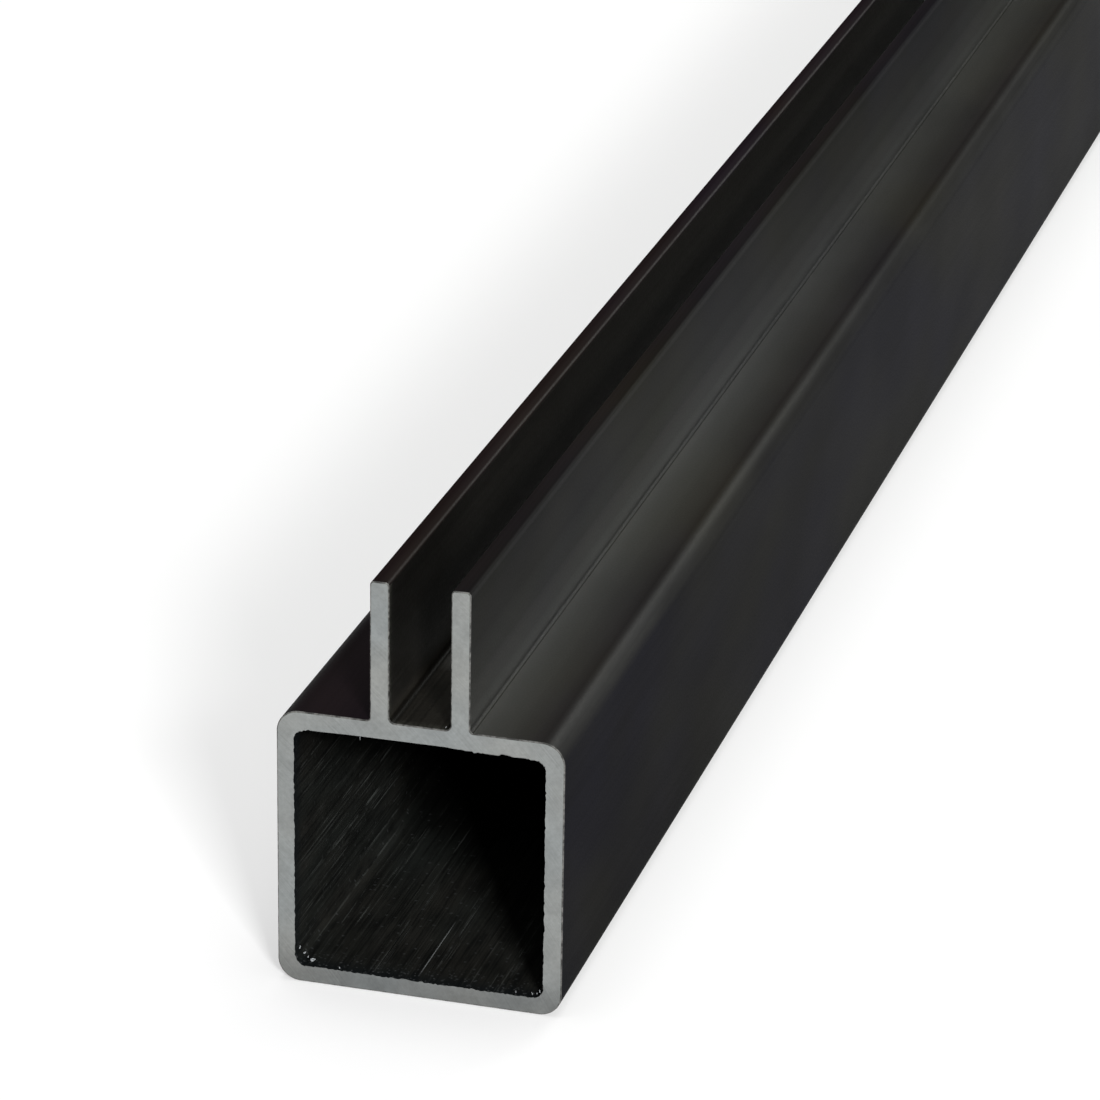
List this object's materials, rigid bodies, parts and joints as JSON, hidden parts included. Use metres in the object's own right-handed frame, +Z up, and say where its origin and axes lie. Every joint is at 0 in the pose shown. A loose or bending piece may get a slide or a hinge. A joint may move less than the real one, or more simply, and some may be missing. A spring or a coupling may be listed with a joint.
{
  "type": "aluminium panel connector tube",
  "caption": "Square aluminium tube with parallel fins along its top that form a slot for a panel edge; its open ends take square push-in connectors.",
  "frame": {"origin": "middle of the underside, halfway along the length", "axes": "+X across the tube, +Y along the tube away from the pictured end, +Z up towards the fins' tips"},
  "size_m": [0.0254, 1, 0.0381],
  "materials": {
    "black_anodised": "satin black anodised"
  },
  "bodies": {
    "root": {"panel_connector_tube": "black_anodised"}
  },
  "joints": []
}
